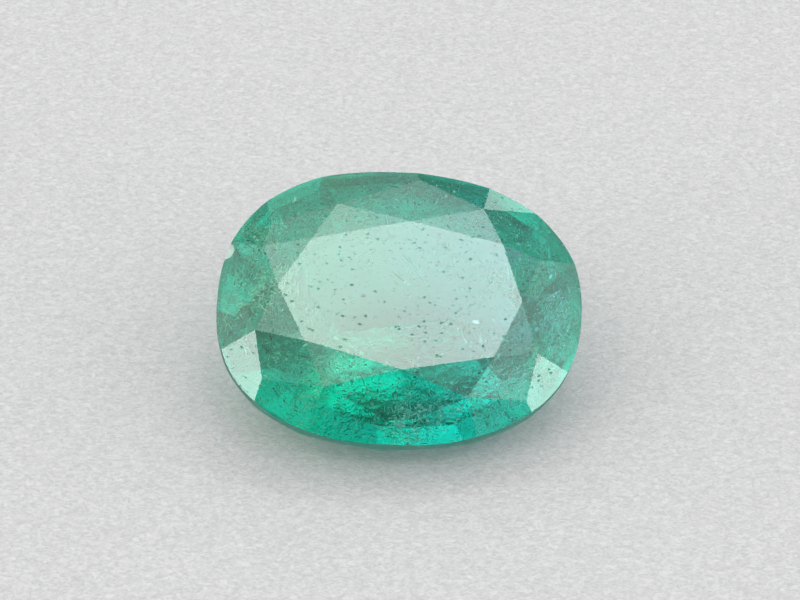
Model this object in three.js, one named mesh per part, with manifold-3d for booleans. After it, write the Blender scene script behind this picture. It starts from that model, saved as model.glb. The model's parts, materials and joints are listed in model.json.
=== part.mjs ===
// A cut oval emerald, one solid stone. The crown is a brilliant cut: a table, star facets, bezels and upper
// girdle facets. The pavilion is a step cut that closes in a keel. The stone is ground the way a cutter grinds
// it: an oval blank loses one flat slice for each facet. It lies as a loose stone does, on one facet beside
// the keel, so its table leans towards -Y.
import * as THREE from "three";
import { mergeVertices } from "three/addons/utils/BufferGeometryUtils.js";
import Module from "manifold-3d";

const wasm = await Module();
wasm.setup();

// Driving dimensions, in millimetres and degrees. The stone's own frame has X along the length, Y across the
// width and Z up through the table, with Z = 0 at the top of the girdle, which rises a little towards +X.
const LENGTH = 9.0;
const WIDTH = 7.1;
const CROWN_HEIGHT = 0.9;
const STAR_TIP_HEIGHT = 0.65;
const GIRDLE_HEIGHT = 0.38;
const GIRDLE_RISE = 0.6;

// The outline is an oval a little fuller than an ellipse, which hand grinding left skewed and egg-shaped
const OVAL_FULLNESS = 2.3;
const OVAL_SKEW = 0.012;
const OVAL_EGG = 0.008;
const OVAL_STEPS = 160;

// The eight table corners, and the tip of the star facet after each corner, seen from above and anticlockwise
// from the +X end. They are not quite even, because the stone was cut by eye.
const TABLE_CORNERS = [
  [2.97, 0.03],
  [2.43, 1.5],
  [0.14, 1.93],
  [-2.26, 1.3],
  [-3.02, 0.03],
  [-2.29, -1.34],
  [0.13, -1.91],
  [2.33, -1.43],
];
const STAR_TIPS = [
  [3.37, 1.24],
  [1.94, 2.47],
  [-1.68, 2.34],
  [-3.44, 1.1],
  [-3.49, -1.08],
  [-1.74, -2.4],
  [1.76, -2.43],
  [3.42, -1.18],
];

// The polar angles of the girdle points below each table corner and below each star tip
const GIRDLE_AT_CORNERS = [0, 38, 87, 143, 180, 219, 268, 324];
const GIRDLE_AT_TIPS = [18, 57, 122, 161, 198, 238, 302, 341];

// The pavilion's two upper steps, from the girdle down: how steep each is and how far it runs in
const STEP_FACETS = 16;
const GIRDLE_STEP = { slope: 58, inset: 0.55 };
const MIDDLE_STEP = { slope: 44, inset: 0.9 };

// The last step: two facets that meet in the keel, which lies askew, and one at each end of it
const KEEL_SIDE_SLOPE = 26.5;
const KEEL_END_SLOPE = 33;
const KEEL_ASKEW = 11;

// One small hollow chip in the upper edge of the girdle, near the -X end
const CHIP = { at: 166, radius: 0.3, depth: 0.12 };

const BLANK_MARGIN = 1;
const BLOCK_SIZE = 40;
const WELD = 1e-3;
const UP = new THREE.Vector3(0, 0, 1);
const DOWN = new THREE.Vector3(0, 0, -1);
const rad = THREE.MathUtils.degToRad;

// A point of the girdle's outline, by its turn from the +X end
function ovalPoint(turn) {
  const c = Math.cos(turn);
  const s = Math.sin(turn);
  const power = 2 / OVAL_FULLNESS;
  const uneven = 1 + OVAL_SKEW * Math.sin(2 * turn) + OVAL_EGG * Math.cos(3 * turn);
  const x = (LENGTH / 2) * Math.sign(c) * Math.abs(c) ** power;
  const y = (WIDTH / 2) * Math.sign(s) * Math.abs(s) ** power;
  return new THREE.Vector2(x * uneven, y * uneven);
}

const outline = Array.from({ length: OVAL_STEPS }, (_, i) => ovalPoint((i / OVAL_STEPS) * 2 * Math.PI));

// How far the outline reaches in the direction of an azimuth
function reach(azimuth) {
  const direction = new THREE.Vector2(Math.cos(rad(azimuth)), Math.sin(rad(azimuth)));
  return Math.max(...outline.map((point) => point.dot(direction)));
}

// The point of the outline at a polar angle, at the top of the rising girdle
function girdlePoint(polar) {
  const direction = new THREE.Vector2(Math.cos(rad(polar)), Math.sin(rad(polar)));
  const [nearest] = [...outline].sort(
    (a, b) => b.clone().normalize().dot(direction) - a.clone().normalize().dot(direction),
  );
  return new THREE.Vector3(nearest.x, nearest.y, nearest.x * Math.tan(rad(GIRDLE_RISE)));
}

// The outward direction of a facet: steep above the girdle for side 1, below it for side -1
function facing(azimuth, slope, side) {
  const flat = Math.sin(rad(slope));
  return new THREE.Vector3(
    Math.cos(rad(azimuth)) * flat,
    Math.sin(rad(azimuth)) * flat,
    Math.cos(rad(slope)) * side,
  );
}

// A facet by three points, anticlockwise from outside
function facetThrough(a, b, c) {
  const plane = new THREE.Plane().setFromCoplanarPoints(a, b, c);
  return { normal: plane.normal, point: a };
}

// A facet by its azimuth, slope and side, through a line at a distance from the axis and a height
function facetAt(azimuth, slope, side, distance, height) {
  const point = new THREE.Vector3(Math.cos(rad(azimuth)) * distance, Math.sin(rad(azimuth)) * distance, height);
  return { normal: facing(azimuth, slope, side), point };
}

// Table, stars, bezels and upper girdle facets, all through the crown's meeting points
function crownFacets() {
  const corners = TABLE_CORNERS.map(([x, y]) => new THREE.Vector3(x, y, CROWN_HEIGHT));
  const tips = STAR_TIPS.map(([x, y]) => new THREE.Vector3(x, y, STAR_TIP_HEIGHT));
  const count = corners.length;
  const facets = [{ normal: UP, point: corners[0] }];
  for (let i = 0; i < count; i++) {
    const next = (i + 1) % count;
    const before = (i + count - 1) % count;
    const below = girdlePoint(GIRDLE_AT_CORNERS[i]);
    const belowNext = girdlePoint(GIRDLE_AT_CORNERS[next]);
    const belowTip = girdlePoint(GIRDLE_AT_TIPS[i]);
    facets.push(facetThrough(corners[i], tips[i], corners[next]));
    facets.push(facetThrough(corners[i], tips[before], tips[i]));
    facets.push(facetThrough(tips[i], below, belowTip));
    facets.push(facetThrough(tips[i], belowTip, belowNext));
  }
  return facets;
}

// One step of the pavilion: facets square to the outline, all starting at one inset and height
function stepFacets(step, startInset, startHeight) {
  const facets = [];
  for (let i = 0; i < STEP_FACETS; i++) {
    const turn = ((i + 0.5) / STEP_FACETS) * 2 * Math.PI;
    const azimuth = THREE.MathUtils.radToDeg(Math.atan2(Math.sin(turn) / WIDTH, Math.cos(turn) / LENGTH));
    facets.push(facetAt(azimuth, step.slope, -1, reach(azimuth) - startInset, startHeight));
  }
  return facets;
}

const drop = (step) => step.inset * Math.tan(rad(step.slope));
const MIDDLE_START = -GIRDLE_HEIGHT - drop(GIRDLE_STEP);
const KEEL_START = MIDDLE_START - drop(MIDDLE_STEP);
const KEEL_INSET = GIRDLE_STEP.inset + MIDDLE_STEP.inset;

// One facet of the last step
function keelFacet(azimuth, slope) {
  return facetAt(azimuth, slope, -1, reach(azimuth) - KEEL_INSET, KEEL_START);
}
const restFacet = keelFacet(KEEL_ASKEW - 90, KEEL_SIDE_SLOPE);
const keelFacets = [
  restFacet,
  keelFacet(KEEL_ASKEW + 90, KEEL_SIDE_SLOPE),
  keelFacet(0, KEEL_END_SLOPE),
  keelFacet(180, KEEL_END_SLOPE),
];

const pavilionFacets = [
  ...stepFacets(GIRDLE_STEP, 0, -GIRDLE_HEIGHT),
  ...stepFacets(MIDDLE_STEP, GIRDLE_STEP.inset, MIDDLE_START),
  ...keelFacets,
];

// A closed three.js geometry as a solid
function solidOf(geometry) {
  const bare = geometry.clone();
  bare.deleteAttribute("normal");
  bare.deleteAttribute("uv");
  const welded = mergeVertices(bare, WELD);
  return new wasm.Manifold(
    new wasm.Mesh({
      numProp: 3,
      vertProperties: new Float32Array(welded.attributes.position.array),
      triVerts: new Uint32Array(welded.index.array),
    }),
  );
}

// A solid as a flat-shaded three.js geometry
function geometryOf(solid) {
  const mesh = solid.getMesh();
  const geometry = new THREE.BufferGeometry();
  geometry.setAttribute("position", new THREE.BufferAttribute(mesh.vertProperties, mesh.numProp));
  geometry.setIndex(new THREE.BufferAttribute(mesh.triVerts, 1));
  const flat = mergeVertices(geometry, WELD).toNonIndexed();
  flat.computeVertexNormals();
  return flat;
}

// The oval blank that the stone is ground from
function blank() {
  const low = KEEL_START - WIDTH / 2;
  const height = CROWN_HEIGHT + BLANK_MARGIN - low;
  const geometry = new THREE.ExtrudeGeometry(new THREE.Shape(outline), { depth: height, bevelEnabled: false });
  return solidOf(geometry.translate(0, 0, low));
}

// The waste block that lies outside a facet
function waste(facet) {
  const block = new THREE.BoxGeometry(BLOCK_SIZE, BLOCK_SIZE, BLOCK_SIZE).translate(0, 0, BLOCK_SIZE / 2);
  const turn = new THREE.Quaternion().setFromUnitVectors(UP, facet.normal);
  return solidOf(block.applyQuaternion(turn).translate(...facet.point));
}

// What broke away at the chip: a ball that bites into the edge of the girdle
function chipped() {
  const edge = girdlePoint(CHIP.at);
  const outward = edge.clone().normalize().add(UP).normalize();
  const centre = edge.addScaledVector(outward, CHIP.radius - CHIP.depth);
  return solidOf(new THREE.IcosahedronGeometry(CHIP.radius, 2).translate(...centre));
}

const facets = [...crownFacets(), ...pavilionFacets];
const ground = facets.reduce((stone, facet) => stone.subtract(waste(facet)), blank());
const worn = ground.subtract(chipped());

const emerald = new THREE.Mesh(
  geometryOf(worn),
  new THREE.MeshStandardMaterial({ color: 0x1c9c7c, roughness: 0.05, metalness: 0 }),
);
emerald.name = "emerald";

// Lying on the facet beside the keel, with the origin under the middle of the stone
const part = new THREE.Group();
part.add(emerald);
emerald.quaternion.setFromUnitVectors(restFacet.normal, DOWN);
const box = new THREE.Box3().setFromObject(part, true);
const middle = box.getCenter(new THREE.Vector3());
emerald.position.set(-middle.x, -middle.y, -box.min.z);

export default part;
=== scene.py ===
"""A loose oval cut emerald, lying on a pale floor under soft studio light."""

import json
import math

import bmesh
import bpy
import numpy as np
from mathutils import Matrix, Vector


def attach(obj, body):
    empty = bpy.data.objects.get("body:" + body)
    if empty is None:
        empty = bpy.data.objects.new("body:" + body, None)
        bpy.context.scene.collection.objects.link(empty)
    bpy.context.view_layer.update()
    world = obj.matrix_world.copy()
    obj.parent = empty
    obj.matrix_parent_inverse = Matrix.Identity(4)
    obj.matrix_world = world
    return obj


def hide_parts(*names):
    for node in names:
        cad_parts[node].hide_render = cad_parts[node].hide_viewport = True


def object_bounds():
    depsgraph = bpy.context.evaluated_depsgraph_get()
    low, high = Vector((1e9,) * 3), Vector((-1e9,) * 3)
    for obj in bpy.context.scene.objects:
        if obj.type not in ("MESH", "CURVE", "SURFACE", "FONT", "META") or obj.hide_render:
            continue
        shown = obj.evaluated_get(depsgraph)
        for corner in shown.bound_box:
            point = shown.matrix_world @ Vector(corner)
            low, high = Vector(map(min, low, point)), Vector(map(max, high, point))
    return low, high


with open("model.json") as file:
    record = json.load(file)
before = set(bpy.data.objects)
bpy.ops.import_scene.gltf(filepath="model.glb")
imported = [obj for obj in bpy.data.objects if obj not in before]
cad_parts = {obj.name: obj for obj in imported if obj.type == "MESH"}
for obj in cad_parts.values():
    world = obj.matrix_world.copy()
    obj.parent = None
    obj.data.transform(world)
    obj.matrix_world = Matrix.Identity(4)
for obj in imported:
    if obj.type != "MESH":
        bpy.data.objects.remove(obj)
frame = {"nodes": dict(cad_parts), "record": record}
CAD_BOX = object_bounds()

bl_info = {
    "name": "Cut emerald",
    "version": (1, 0, 0),
    "blender": (4, 5, 0),
    "location": "View3D > Sidebar > Emerald",
    "description": "Builds an oval cut emerald with its inclusions, its floor and its lights",
    "category": "Object",
}

MM = 0.001
HALF_LENGTH = 4.5 * MM
HALF_WIDTH = 3.55 * MM
SMALLEST_FACET = 0.02 * MM * MM
CHIP_RADIUS = 0.3 * MM
CHIP_ROOM = 0.45 * MM

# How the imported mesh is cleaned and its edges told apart
WELD = 0.0005 * MM
FLAT_ANGLE = math.radians(0.7)
SHARP_ANGLE = math.radians(6)
GIRDLE_SLOPE = 0.1

# The polish: pits and smears on every facet, and unevenness from below the girdle downwards
ZONE_REACH = 3.5 * MM
ZONE_MOTTLE = 0.004
PAVILION_START = -1.3 * MM
PAVILION_FULL = -1.7 * MM
PIT_DENSITY = 6500.0
PIT_RADIUS = 0.17
PIT_SHARE = 0.75
PIT_ANGLE = 35
PIT_STRETCH = 0.6
WAVE_DEPTH = 0.05 * MM

# The floor's felt
FIBRE_DENSITY = 10000.0
FIBRE_STRETCH = 0.6
FIBRE_ANGLES = (-40, 25)
FIBRE_DEPTH = 0.03 * MM

SOFTBOX_DISTANCE = 0.25
AIM_RIGHT = 0.033 * MM
AIM_UP = 0.158 * MM
GLOSS = 0.55
FLAKE_SHAPE = (1, 0.5, 0.15)
THREAD_SHAPE = (0.8, 0.8, 0.6)
SPECK_SHAPE = (1, 0.6, 0.4)

# The stone's own frame: the origin in the middle of the table, X along the length, Z out of the table
TABLE = next(mount for mount in frame["record"]["mounts"] if mount["name"] == "table")
TABLE_NORMAL = Vector(TABLE["axis"]).normalized()
TABLE_CENTRE = Vector(TABLE["pos_m"])
LEAN = Vector((0, 0, 1)).rotation_difference(TABLE_NORMAL)
STONE_FRAME = Matrix.Translation(TABLE_CENTRE) @ LEAN.to_matrix().to_4x4()

# Large clumps in that frame, of inclusions and, among the dark ones, partly of painted shade: along, across
# and up from the table and the spread, in mm, and a share
PALE_CLUMPS = (
    (3.78, 0.10, -1.05, 0.28, 4.0),
    (3.90, -0.80, -1.00, 0.25, 1.5),
    (2.75, -1.75, -0.80, 0.28, 2.5),
    (1.45, -2.35, -0.90, 0.30, 1.5),
    (0.90, -2.55, -1.05, 0.35, 2.5),
    (0.25, -2.65, -0.95, 0.30, 3.0),
    (0.30, -3.10, -1.05, 0.30, 2.0),
    (-1.30, -1.90, -0.50, 0.30, 1.8),
    (-2.00, -2.40, -0.95, 0.35, 1.2),
    (-3.80, -0.50, -0.95, 0.40, 1.2),
    (-3.30, 0.00, -0.65, 0.25, 2.5),
    (-2.90, 0.25, -0.35, 0.20, 2.5),
    (-2.55, 1.65, -0.72, 0.35, 1.5),
    (3.20, 1.70, -0.80, 0.35, 1.5),
    (-1.20, -1.00, -1.50, 0.50, 0.8),
)
# Dark clumps: partly real dark inclusions, partly painted shade, with dark threads put where the stone is to
# look darker
DARK_AND_SHADE_CLUMPS = (
    (-0.70, -2.60, -0.90, 0.35, 3.5),
    (-1.10, -2.98, -1.05, 0.30, 5.0),
    (-2.50, -2.55, -1.05, 0.30, 2.0),
    (-2.30, -1.40, -0.58, 0.35, 0.8),
    (-3.90, 0.75, -1.05, 0.25, 5.0),
    (-3.55, 1.70, -1.10, 0.25, 4.0),
    (-1.36, 2.80, -0.96, 0.30, 0.7),
    (3.05, 0.20, -0.55, 0.25, 1.0),
    (2.45, -2.55, -1.05, 0.25, 1.5),
)

# Softboxes: name, then azimuth from the front, elevation, width and height in degrees, then brightness
SOFTBOXES = (
    ("overhead_softbox", 49.6, 79.6, 8, 8, 7.4),
    ("front_softbox", 0, 64, 60, 10, 3.8),
    ("front_strip", 1, 20, 28, 7, 3.5),
    ("front_left_softbox", -46, 62, 13, 10, 1.9),
    ("front_right_softbox", 66, 49, 13, 10, 1.7),
    ("front_panel", -1, 52, 10, 8, 1.0),
    ("low_right_panel", 46, 22, 10, 8, 1.1),
    ("left_softbox", -62, 17, 12, 12, 6.6),
    ("right_softbox", 64.6, 8, 12, 12, 5.6),
    ("rear_left_softbox", -122, 69, 10, 10, 3.0),
    ("rear_left_panel", -154, 47, 10, 10, 1.5),
    ("low_rear_panel", -169, 29, 30, 10, 0.8),
    ("rear_softbox", 166, 62, 36, 10, 3.8),
    ("rear_panel", 175, 40, 18, 10, 1.8),
    ("rear_strip", 158, 15, 7, 7, 2.4),
)


# Settings

class StoneSettings(bpy.types.PropertyGroup):
    """The cut stone's sizes and optics."""

    edge_wear: bpy.props.FloatProperty(
        name="Edge wear", description="Width of the worn facet edges", default=0.018 * MM, unit="LENGTH"
    )
    crown_height: bpy.props.FloatProperty(
        name="Crown height", description="Height of the table above the girdle",
        default=0.9 * MM, unit="LENGTH"
    )
    refraction: bpy.props.FloatProperty(
        name="Refraction", description="Index of refraction of beryl", default=1.58
    )
    depth_colour: bpy.props.FloatVectorProperty(
        name="Depth colour", description="Colour that light takes on inside the stone",
        subtype="COLOR", size=3, default=(0.06, 0.85, 0.82),
    )
    depth_strength: bpy.props.FloatProperty(
        name="Depth strength", description="How fast light takes on the depth colour, per metre",
        default=800.0
    )
    green_tint: bpy.props.FloatVectorProperty(
        name="Green tint", description="Tint of the left end",
        subtype="COLOR", size=3, default=(0.84, 1.0, 0.65)
    )
    teal_tint: bpy.props.FloatVectorProperty(
        name="Teal tint", description="Tint of the right end",
        subtype="COLOR", size=3, default=(0.80, 0.97, 1.0)
    )


class JardinSettings(bpy.types.PropertyGroup):
    """The inclusions inside the stone, which are called its jardin; its dark threads and specks are partly
    painted shade.
    """

    seed: bpy.props.IntProperty(
        name="Seed", description="Number that the scatter starts from", default=7
    )
    clumps: bpy.props.IntProperty(
        name="Clumps", description="How many small clumps lie about the stone", default=90
    )
    clump_size: bpy.props.FloatProperty(
        name="Clump size", description="How far a small clump usually spreads",
        default=0.30 * MM, unit="LENGTH"
    )
    needles: bpy.props.IntProperty(
        name="Needles", description="How many fine pale needles there are", default=3600
    )
    threads: bpy.props.IntProperty(
        name="Threads", description="How many fine dark threads there are", default=3200
    )
    needle_length: bpy.props.FloatProperty(
        name="Needle length", description="Half of a needle's usual length", default=0.08 * MM, unit="LENGTH"
    )
    needle_width: bpy.props.FloatProperty(
        name="Needle width", description="Half of a needle's width", default=0.009 * MM, unit="LENGTH"
    )
    flakes: bpy.props.IntProperty(
        name="Flakes", description="How many pale flakes there are", default=1500
    )
    flake_size: bpy.props.FloatProperty(
        name="Flake size", description="Usual radius of a flake", default=0.042 * MM, unit="LENGTH"
    )
    specks: bpy.props.IntProperty(
        name="Specks", description="How many dark specks there are", default=700
    )
    speck_size: bpy.props.FloatProperty(
        name="Speck size", description="Usual radius of a dark speck", default=0.022 * MM, unit="LENGTH"
    )
    margin: bpy.props.FloatProperty(
        name="Margin", description="Clear crystal between an inclusion and a facet",
        default=0.05 * MM, unit="LENGTH"
    )
    pale_colour: bpy.props.FloatVectorProperty(
        name="Pale colour", description="Colour of the pale inclusions", subtype="COLOR", size=3,
        default=(0.50, 0.95, 0.86),
    )
    glint_colour: bpy.props.FloatVectorProperty(
        name="Glint colour", description="Colour of the glinting flakes", subtype="COLOR", size=3,
        default=(0.66, 1.0, 1.0),
    )
    # Painted shade: the dark threads stand partly for shade inside the stone
    thread_and_shade_colour: bpy.props.FloatVectorProperty(
        name="Thread colour", description="Colour of the dark threads", subtype="COLOR", size=3,
        default=(0.04, 0.26, 0.18),
    )
    # Painted shadow: the dark specks stand partly for small shadows inside the stone
    speck_and_shadow_colour: bpy.props.FloatVectorProperty(
        name="Speck colour", description="Colour of the dark specks", subtype="COLOR", size=3,
        default=(0.02, 0.035, 0.03),
    )


class StageSettings(bpy.types.PropertyGroup):
    """The floor, the camera and the lights."""

    floor_colour: bpy.props.FloatVectorProperty(
        name="Floor colour", description="Colour of the pale floor", subtype="COLOR", size=3,
        default=(0.432, 0.432, 0.433),
    )
    floor_radius: bpy.props.FloatProperty(
        name="Floor radius", description="Radius of the floor", default=0.5, unit="LENGTH"
    )
    floor_gap: bpy.props.FloatProperty(
        name="Floor gap", description="Air under the facet that the stone lies on",
        default=0.02 * MM, unit="LENGTH"
    )
    room_light: bpy.props.FloatProperty(
        name="Room light", description="Brightness of the room's walls", default=0.97
    )
    ceiling_light: bpy.props.FloatProperty(
        name="Ceiling light", description="Brightness of the lit ceiling", default=0.2
    )
    side_light: bpy.props.FloatProperty(
        name="Side light", description="How much brighter the side walls are", default=1.45
    )
    camera_azimuth: bpy.props.FloatProperty(
        name="Camera azimuth", description="Camera's turn from the front",
        default=math.radians(2.0), subtype="ANGLE"
    )
    camera_elevation: bpy.props.FloatProperty(
        name="Camera elevation", description="Camera's height angle",
        default=math.radians(45), subtype="ANGLE"
    )
    camera_distance: bpy.props.FloatProperty(
        name="Camera distance", description="Distance from the stone", default=80 * MM, unit="LENGTH"
    )
    view_width: bpy.props.FloatProperty(
        name="View width", description="Width that the picture shows at the stone",
        default=19.71 * MM, unit="LENGTH"
    )


# Shader maths

class Value:
    """A socket of a material, with Math nodes for its operators."""

    def __init__(self, shader, socket):
        self.shader = shader
        self.socket = socket

    def maths(self, operation, first, second):
        return self.shader.node("ShaderNodeMath", {"operation": operation}, {0: first, 1: second})["Value"]

    def __add__(self, other):
        return self.maths("ADD", self, other)

    def __radd__(self, other):
        return self.maths("ADD", other, self)

    def __sub__(self, other):
        return self.maths("SUBTRACT", self, other)

    def __rsub__(self, other):
        return self.maths("SUBTRACT", other, self)

    def __mul__(self, other):
        return self.maths("MULTIPLY", self, other)

    def __rmul__(self, other):
        return self.maths("MULTIPLY", other, self)

    def __pow__(self, other):
        return self.maths("POWER", self, other)

    def maximum(self, other):
        return self.maths("MAXIMUM", self, other)


class Outputs:
    """The outputs of a node by name or number, each as a Value."""

    def __init__(self, shader, node):
        self.shader = shader
        self.node = node

    def __getitem__(self, name):
        return Value(self.shader, self.node.outputs[name])


class Shader:
    """The node tree of a material or of the room."""

    def __init__(self, owner):
        owner.use_nodes = True
        self.owner = owner
        self.tree = owner.node_tree
        self.tree.nodes.clear()

    def node(self, kind, settings, sockets):
        made = self.tree.nodes.new(kind)
        for name, value in settings.items():
            setattr(made, name, value)
        for name, value in sockets.items():
            if isinstance(value, Value):
                self.tree.links.new(value.socket, made.inputs[name])
            else:
                made.inputs[name].default_value = value
        return Outputs(self, made)

    def place(self):
        return self.node("ShaderNodeTexCoord", {}, {})["Object"]

    def noise(self, vector, scale, detail=3.0, roughness=0.5, distortion=0.0):
        sockets = {
            "Vector": vector, "Scale": scale, "Detail": detail,
            "Roughness": roughness, "Distortion": distortion,
        }
        return self.node("ShaderNodeTexNoise", {}, sockets)["Fac"]

    def step(self, value, low, high):
        sockets = {"Value": value, "From Min": low, "From Max": high, "To Min": 0.0, "To Max": 1.0}
        settings = {"interpolation_type": "SMOOTHSTEP", "clamp": True}
        return self.node("ShaderNodeMapRange", settings, sockets)["Result"]

    def blend(self, share, first, second):
        """A colour between two, by the sockets of a Mix node that hold its factor and its colours."""
        return self.node("ShaderNodeMix", {"data_type": "RGBA"}, {0: share, 6: first, 7: second})[2]

    def pits(self, vector, scale, radius, share):
        """Ragged spots about cell points, at a share of the cells."""
        cells = self.node("ShaderNodeTexVoronoi", {}, {"Vector": vector, "Scale": scale})
        chosen = self.step(self.axis(cells["Color"], "X"), 1 - share, 1 - share + 0.01)
        ragged = cells["Distance"] + (self.noise(vector, scale * 5, 2.0) - 0.5) * radius * 2.4
        return (1 - self.step(ragged, radius * 0.5, radius)) * chosen

    def combed(self, vector, angle, stretch):
        """A place turned by an angle and drawn out along one way."""
        sockets = {"Vector": vector, "Rotation": (0, 0, math.radians(angle)), "Scale": (stretch, 1, 1)}
        return self.node("ShaderNodeMapping", {}, sockets)["Vector"]

    def fibres(self, vector, angle):
        """Short streaks along an angle in the floor's plane."""
        drawn_out = self.combed(vector, angle, FIBRE_STRETCH)
        return self.step(self.noise(drawn_out, FIBRE_DENSITY, 3.0, 0.6, 1.0), 0.3, 0.7)

    def depth(self, settings):
        """The crystal's even absorption."""
        return self.node("ShaderNodeVolumeAbsorption", {}, {
            "Color": rgba(settings.depth_colour),
            "Density": settings.depth_strength,
        })["Volume"]

    def axis(self, vector, name):
        return self.node("ShaderNodeSeparateXYZ", {}, {"Vector": vector})[name]

    def stone_place(self):
        turn = LEAN.inverted().to_euler()
        moved = self.node(
            "ShaderNodeVectorMath", {"operation": "SUBTRACT"}, {0: self.place(), 1: TABLE_CENTRE}
        )["Vector"]
        return self.node("ShaderNodeMapping", {}, {"Vector": moved, "Rotation": turn})["Vector"]

    def finish(self, surface, volume=None):
        ends = {"Surface": surface}
        if volume:
            ends["Volume"] = volume
        self.node("ShaderNodeOutputMaterial", {}, ends)
        return self.owner


def rgba(colour):
    return (*colour, 1.0)


def direction(turn, rise):
    """The way towards an azimuth from the front and a height angle."""
    return Vector((math.sin(turn) * math.cos(rise), -math.cos(turn) * math.cos(rise), math.sin(rise)))


# Materials

def polished_emerald(settings):
    """Clear green crystal, zoned from green to teal, with fine pits and an uneven pavilion."""
    shader = Shader(bpy.data.materials.new("polished_emerald"))
    place = shader.stone_place()
    along = shader.axis(place, "X")
    mottle = shader.noise(place, 900.0, 4.0, 0.6, 0.6)
    zone = shader.step(along + (mottle - 0.5) * ZONE_MOTTLE, -ZONE_REACH, ZONE_REACH)
    tint = shader.blend(zone, rgba(settings.green_tint), rgba(settings.teal_tint))
    height = shader.axis(place, "Z")
    off_floor = 0.5 + 0.5 * shader.step(shader.axis(shader.place(), "Z"), 0.02 * MM, 0.08 * MM)
    below = (1 - shader.step(height, PAVILION_FULL, PAVILION_START)) * off_floor
    smear = shader.noise(place, 2500.0, 3.0, 0.6)
    scraped = shader.combed(place, PIT_ANGLE, PIT_STRETCH)
    pits = shader.pits(scraped, PIT_DENSITY, PIT_RADIUS, PIT_SHARE)
    roughness = 0.015 + 0.02 * smear + below * 0.12 + pits * 0.5
    waves = shader.noise(place, 2200.0, 5.0, 0.6)
    bump = shader.node(
        "ShaderNodeBump", {}, {"Strength": 0.7, "Distance": WAVE_DEPTH, "Height": waves * below - pits * 0.3}
    )["Normal"]
    surface = shader.node("ShaderNodeBsdfPrincipled", {}, {
        "Base Color": tint,
        "Roughness": roughness,
        "IOR": settings.refraction,
        "Transmission Weight": 1.0,
        "Normal": bump,
    })["BSDF"]
    return shader.finish(surface, shader.depth(settings))


def ground_girdle(settings):
    """The girdle's finely ground, matt band of the same crystal."""
    shader = Shader(bpy.data.materials.new("ground_girdle"))
    place = shader.stone_place()
    grain = shader.noise(place, 9000.0, 3.0, 0.6)
    bump = shader.node(
        "ShaderNodeBump", {}, {"Strength": 0.4, "Distance": 0.01 * MM, "Height": grain}
    )["Normal"]
    surface = shader.node("ShaderNodeBsdfPrincipled", {}, {
        "Base Color": rgba((0.82, 0.98, 0.9)),
        "Roughness": 0.35 + 0.15 * grain,
        "IOR": settings.refraction,
        "Transmission Weight": 1.0,
        "Normal": bump,
    })["BSDF"]
    return shader.finish(surface, shader.depth(settings))


def broken_chip(settings):
    """The small chip's fresh break, which scatters white."""
    shader = Shader(bpy.data.materials.new("broken_chip"))
    grain = shader.noise(shader.stone_place(), 12000.0, 3.0, 0.6)
    surface = shader.node("ShaderNodeBsdfPrincipled", {}, {
        "Base Color": shader.blend(grain, rgba((0.22, 0.36, 0.30)), rgba((0.50, 0.62, 0.56))),
        "Roughness": 0.45 + 0.2 * grain,
        "IOR": settings.refraction,
        "Transmission Weight": 0.4,
    })["BSDF"]
    return shader.finish(surface)


def inclusion(name, colour, gloss):
    """Matter inside the stone, a little uneven in colour, which glints as far as it is glossy; the dark
    threads and specks made with it are partly painted shade.
    """
    shader = Shader(bpy.data.materials.new(name))
    patches = shader.noise(shader.place(), 4000.0, 2.0, 0.5)
    deeper = [0.7 * channel for channel in colour]
    surface = shader.node("ShaderNodeBsdfPrincipled", {}, {
        "Base Color": shader.blend(patches, rgba(deeper), rgba(colour)),
        "Roughness": 0.6,
        "Metallic": gloss,
    })["BSDF"]
    return shader.finish(surface)


def pale_floor(settings):
    """A pale felted floor, with short fibres that lie along two ways."""
    shader = Shader(bpy.data.materials.new("pale_floor"))
    place = shader.place()
    first, second = (shader.fibres(place, angle) for angle in FIBRE_ANGLES)
    fibres = 0.5 * (first + second)
    low = [0.82 * channel for channel in settings.floor_colour]
    high = [1.14 * channel for channel in settings.floor_colour]
    bump = shader.node(
        "ShaderNodeBump", {}, {"Strength": 0.5, "Distance": FIBRE_DEPTH, "Height": fibres}
    )["Normal"]
    surface = shader.node("ShaderNodeBsdfPrincipled", {}, {
        "Base Color": shader.blend(fibres, rgba(low), rgba(high)),
        "Roughness": 0.95,
        "Specular IOR Level": 0.1,
        "Normal": bump,
    })["BSDF"]
    return shader.finish(surface)


# Meshes

def merged_stone():
    """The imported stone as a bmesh, with its loose triangles joined into whole facets."""
    mesh = bmesh.new()
    mesh.from_mesh(frame["nodes"]["emerald"].data)
    bmesh.ops.remove_doubles(mesh, verts=mesh.verts, dist=WELD)
    bmesh.ops.dissolve_limit(
        mesh, angle_limit=FLAT_ANGLE, verts=mesh.verts, edges=mesh.edges, use_dissolve_boundaries=False
    )
    mesh.normal_update()
    return mesh


def chip_centre(mesh):
    """The middle of the chip, whose hollow has the stone's smallest faces."""
    hollow = [face for face in mesh.faces if face.calc_area() <= SMALLEST_FACET]
    weighted = sum((face.calc_center_median() * face.calc_area() for face in hollow), Vector())
    return weighted / sum(face.calc_area() for face in hollow)


def new_object(name, mesh, materials):
    data = bpy.data.meshes.new(name)
    mesh.to_mesh(data)
    mesh.free()
    made = bpy.data.objects.new(name, data)
    bpy.context.scene.collection.objects.link(made)
    for material in materials:
        data.materials.append(material)
    return made


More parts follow.
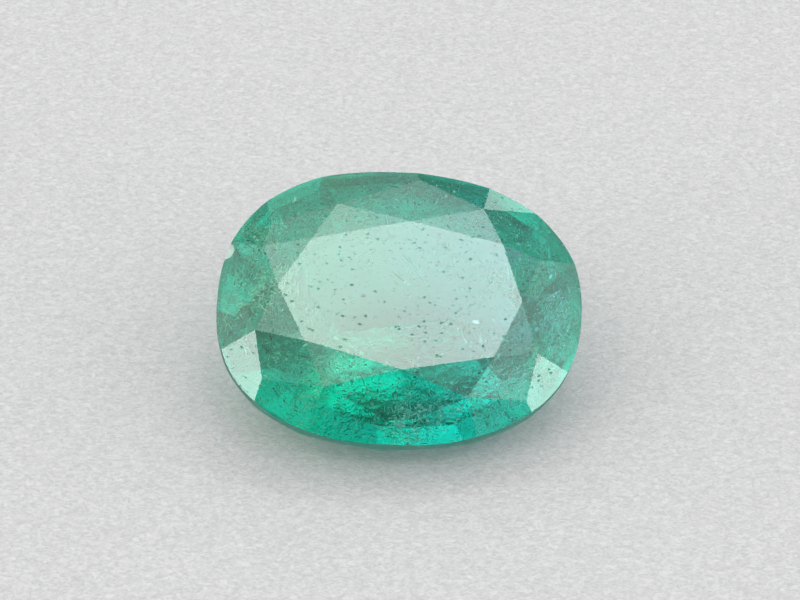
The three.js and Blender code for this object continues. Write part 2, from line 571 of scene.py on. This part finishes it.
class Interior:
    """The clear room inside the stone, which lies within a margin of all its facets."""

    def __init__(self, margin):
        mesh = merged_stone()
        facets = [face for face in mesh.faces if face.calc_area() > SMALLEST_FACET]
        self.normals = np.array([face.normal for face in facets])
        reaches = [face.normal.dot(face.calc_center_median()) for face in facets]
        self.reaches = np.array(reaches) - margin
        self.chip = np.array(chip_centre(mesh))
        mesh.free()

    def holds(self, points):
        inside = (points @ self.normals.T <= self.reaches).all(axis=1)
        return inside & (np.linalg.norm(points - self.chip, axis=1) > CHIP_ROOM)

    def spots(self, random, count, rim_share):
        """Points spread over the interior, with a share of them kept to its outer rim."""
        low, high = np.array(CAD_BOX)
        tries = random.uniform(low, high, (count * 12, 3))
        tries = tries[self.holds(tries)]
        flat = (tries - np.array(TABLE_CENTRE)) @ np.array(LEAN.to_matrix())
        outwards = np.hypot(flat[:, 0] / HALF_LENGTH, flat[:, 1] / HALF_WIDTH)
        chance = (1 - rim_share) + rim_share * np.clip(outwards * 2 - 0.7, 0, 1)
        kept = random.uniform(0, 1, len(tries)) < chance
        return tries[kept][:count]


class Clumps:
    """Places where inclusions crowd, the dark ones partly as painted shade, each with its spread, its share
    of them and the grain they follow.
    """

    def __init__(self, large, settings, random, interior):
        placed = np.array(large)
        centres = placed[:, :3] * MM @ np.array(LEAN.to_matrix()).T + np.array(TABLE_CENTRE)
        strewn_about = interior.spots(random, settings.clumps, 0.8)
        spreads = settings.clump_size * random.lognormal(0, 0.5, len(strewn_about))
        shares = 0.3 * random.lognormal(0, 0.6, len(strewn_about))
        self.centres = np.concatenate([centres, strewn_about])
        self.spreads = np.concatenate([placed[:, 3] * MM, spreads])
        self.shares = np.concatenate([placed[:, 4], shares])
        self.grain = random.normal(size=self.centres.shape)

    def scatter(self, random, count):
        """Places and directions of inclusions in the clumps."""
        pick = random.choice(len(self.centres), count, p=self.shares / self.shares.sum())
        places = self.centres[pick] + self.spreads[pick, None] * random.normal(size=(count, 3))
        return places, self.grain[pick] + random.normal(0, 0.7, (count, 3))


def turned(directions):
    """Turns that bring Z to each direction."""
    along = directions / np.linalg.norm(directions, axis=1, keepdims=True)
    helper = np.where(np.abs(along[:, 2:]) < 0.9, (0.0, 0.0, 1.0), (1.0, 0.0, 0.0))
    across = np.cross(helper, along)
    across /= np.linalg.norm(across, axis=1, keepdims=True)
    return np.stack([across, np.cross(along, across), along], axis=2)


def strew(name, sides, size, scatter, random, interior, material):
    """One mesh of many small spindles, without those that would reach past the stone's facets."""
    shape = bmesh.new()
    bmesh.ops.create_uvsphere(shape, u_segments=sides, v_segments=2, radius=1)
    shape.verts.index_update()
    corners = np.array([vertex.co for vertex in shape.verts])
    faces = np.array([[vertex.index for vertex in face.verts] for face in shape.faces])
    shape.free()
    places, directions = scatter
    sizes = np.array(size) * random.lognormal(0, 0.35, (len(places), 1))
    sizes[:, 2] *= random.lognormal(0, 0.5, len(places))
    copies = np.einsum("nij,nvj->nvi", turned(directions), corners[None] * sizes[:, None]) + places[:, None]
    held = interior.holds(copies.reshape(-1, 3)).reshape(len(places), -1).all(axis=1)
    copies = copies[held]
    starts = np.arange(len(copies)) * len(corners)
    data = bpy.data.meshes.new(name)
    joined = (faces[None] + starts[:, None, None]).reshape(-1, 3)
    data.from_pydata(copies.reshape(-1, 3).tolist(), [], joined.tolist())
    data.materials.append(material)
    piece = bpy.data.objects.new(name, data)
    bpy.context.scene.collection.objects.link(piece)
    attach(piece, "root")


# Operators

class EMERALD_OT_stone(bpy.types.Operator):
    """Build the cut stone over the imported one"""

    bl_idname = "emerald.stone"
    bl_label = "Cut stone"

    def execute(self, context):
        settings = context.scene.emerald_stone
        mesh = merged_stone()
        chip = chip_centre(mesh)
        sharp = [edge for edge in mesh.edges if edge.calc_face_angle(0.0) > SHARP_ANGLE]
        bmesh.ops.bevel(
            mesh, geom=sharp, offset=settings.edge_wear, offset_type="OFFSET", affect="EDGES",
            segments=2, profile=0.5, material=-1, clamp_overlap=True,
        )
        mesh.normal_update()
        for face in mesh.faces:
            normal = LEAN.inverted() @ face.normal
            around = abs(normal.z) < GIRDLE_SLOPE
            near_chip = (face.calc_center_median() - chip).length < CHIP_RADIUS
            broken = near_chip and face.calc_area() < SMALLEST_FACET
            face.material_index = 2 if broken else 1 if around else 0
            face.smooth = around
        finishes = [polished_emerald(settings), ground_girdle(settings), broken_chip(settings)]
        stone = new_object("cut_stone", mesh, finishes)
        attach(stone, "root")
        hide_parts("emerald")
        return {"FINISHED"}


class EMERALD_OT_jardin(bpy.types.Operator):
    """Fill the stone with its clumps of pale needles and flakes and with its dark threads and specks, which
    are partly painted shade
    """

    bl_idname = "emerald.jardin"
    bl_label = "Jardin"

    def execute(self, context):
        settings = context.scene.emerald_jardin
        random = np.random.default_rng(settings.seed)
        interior = Interior(settings.margin)
        pale_clumps = Clumps(PALE_CLUMPS, settings, random, interior)
        dark_and_shade_clumps = Clumps(DARK_AND_SHADE_CLUMPS, settings, random, interior)
        pale = inclusion("pale_inclusion", settings.pale_colour, 0.0)
        glint = inclusion("glinting_inclusion", settings.glint_colour, GLOSS)
        # Dark threads: partly dark inclusions, partly painted shade
        thread_and_shade = inclusion("dark_thread_and_painted_shade", settings.thread_and_shade_colour, 0.0)
        # Dark specks: partly dark inclusions, partly painted shadow
        speck_and_shadow = inclusion("dark_speck_and_painted_shadow", settings.speck_and_shadow_colour, 0.0)
        needle = np.array([settings.needle_width, settings.needle_width, settings.needle_length])
        flake = settings.flake_size * np.array(FLAKE_SHAPE)
        grain = settings.speck_size * np.array(SPECK_SHAPE)
        scatter = pale_clumps.scatter(random, settings.needles)
        strew("jardin_needles", 3, needle, scatter, random, interior, pale)
        scatter = pale_clumps.scatter(random, settings.flakes)
        strew("jardin_flakes", 6, flake, scatter, random, interior, glint)
        scatter = dark_and_shade_clumps.scatter(random, settings.threads)
        strew("jardin_threads_and_painted_shade", 3, needle * THREAD_SHAPE, scatter, random, interior, thread_and_shade)
        # Dark specks strewn at random: partly dark inclusions, partly painted shadow
        places = interior.spots(random, settings.specks, 0.5)
        scatter = (places, random.normal(size=places.shape))
        strew("jardin_specks_and_painted_shadow", 6, grain, scatter, random, interior, speck_and_shadow)
        return {"FINISHED"}


class EMERALD_OT_stage(bpy.types.Operator):
    """Build the floor, the lights, the room and the camera"""

    bl_idname = "emerald.stage"
    bl_label = "Stage"

    def execute(self, context):
        settings = context.scene.emerald_stage
        mesh = bmesh.new()
        bmesh.ops.create_circle(mesh, cap_ends=True, segments=64, radius=settings.floor_radius)
        bmesh.ops.translate(mesh, verts=mesh.verts, vec=(0, 0, -settings.floor_gap))
        floor = new_object("floor", mesh, [pale_floor(settings)])
        self.room(context.scene, settings)
        for softbox in SOFTBOXES:
            self.softbox(*softbox)
        self.camera(context.scene, settings)
        context.scene.view_settings.view_transform = "Standard"
        context.scene.cycles.max_bounces = 24
        context.scene.cycles.transmission_bounces = 24
        context.scene.cycles.glossy_bounces = 8
        return {"FINISHED"}

    def room(self, scene, settings):
        """Grey walls under a lit ceiling, dark towards the camera and dim behind the stone."""
        scene.world = bpy.data.worlds.new("room")
        shader = Shader(scene.world)
        way = shader.node("ShaderNodeTexCoord", {}, {})["Generated"]
        up = shader.axis(way, "Z").maximum(0.0)
        side = shader.axis(way, "X")
        front = shader.step(0 - shader.axis(way, "Y"), 0.55, 0.95)
        walls = settings.room_light + settings.side_light * side ** 2
        rear = shader.step(shader.axis(way, "Y"), 0.15, 0.85)
        light = (walls + settings.ceiling_light * up ** 2) * (1 - 0.9 * front - 0.6 * rear)
        background = shader.node("ShaderNodeBackground", {}, {"Color": (1, 1, 1, 1), "Strength": light})
        shader.node("ShaderNodeOutputWorld", {}, {"Surface": background["Background"]})

    def softbox(self, name, azimuth, elevation, width, height, brightness):
        """A lit rectangle that faces the stone, by its angles, its angular size and its brightness."""
        towards = direction(math.radians(azimuth), math.radians(elevation))
        lamp = bpy.data.lights.new(name, "AREA")
        lamp.shape = "RECTANGLE"
        lamp.size = 2 * SOFTBOX_DISTANCE * math.tan(math.radians(width / 2))
        lamp.size_y = 2 * SOFTBOX_DISTANCE * math.tan(math.radians(height / 2))
        lamp.energy = brightness * math.pi * lamp.size * lamp.size_y
        made = bpy.data.objects.new(name, lamp)
        made.location = TABLE_CENTRE + towards * SOFTBOX_DISTANCE
        made.rotation_mode = "QUATERNION"
        made.rotation_quaternion = towards.to_track_quat("Z", "Y")
        bpy.context.scene.collection.objects.link(made)

    def camera(self, scene, settings):
        turn = settings.camera_azimuth
        back = direction(turn, settings.camera_elevation)
        right = Vector((math.cos(turn), math.sin(turn), 0))
        up = back.cross(right)
        girdle = STONE_FRAME @ Vector((0, 0, -scene.emerald_stone.crown_height))
        aim = girdle + right * AIM_RIGHT + up * AIM_UP
        lens = bpy.data.cameras.new("camera")
        lens.lens = lens.sensor_width * settings.camera_distance / settings.view_width
        lens.clip_start = 1 * MM
        lens.clip_end = 5
        camera = bpy.data.objects.new("camera", lens)
        camera.location = aim + back * settings.camera_distance
        camera.rotation_mode = "QUATERNION"
        camera.rotation_quaternion = back.to_track_quat("Z", "Y")
        scene.collection.objects.link(camera)
        scene.camera = camera


class VIEW3D_PT_emerald(bpy.types.Panel):
    """The emerald's pieces and settings."""

    bl_label = "Emerald"
    bl_space_type = "VIEW_3D"
    bl_region_type = "UI"
    bl_category = "Emerald"

    def draw(self, context):
        for operator in (EMERALD_OT_stone, EMERALD_OT_jardin, EMERALD_OT_stage):
            self.layout.operator(operator.bl_idname)
        scene = context.scene
        for group in (scene.emerald_stone, scene.emerald_jardin, scene.emerald_stage):
            for name in group.__annotations__:
                self.layout.prop(group, name)


CLASSES = (
    StoneSettings, JardinSettings, StageSettings,
    EMERALD_OT_stone, EMERALD_OT_jardin, EMERALD_OT_stage, VIEW3D_PT_emerald,
)


def register():
    for each in CLASSES:
        bpy.utils.register_class(each)
    bpy.types.Scene.emerald_stone = bpy.props.PointerProperty(type=StoneSettings)
    bpy.types.Scene.emerald_jardin = bpy.props.PointerProperty(type=JardinSettings)
    bpy.types.Scene.emerald_stage = bpy.props.PointerProperty(type=StageSettings)


def unregister():
    del bpy.types.Scene.emerald_stage
    del bpy.types.Scene.emerald_jardin
    del bpy.types.Scene.emerald_stone
    for each in reversed(CLASSES):
        bpy.utils.unregister_class(each)


def main():
    register()
    bpy.ops.emerald.stone()
    bpy.ops.emerald.jardin()
    bpy.ops.emerald.stage()


if __name__ == "__main__":
    main()
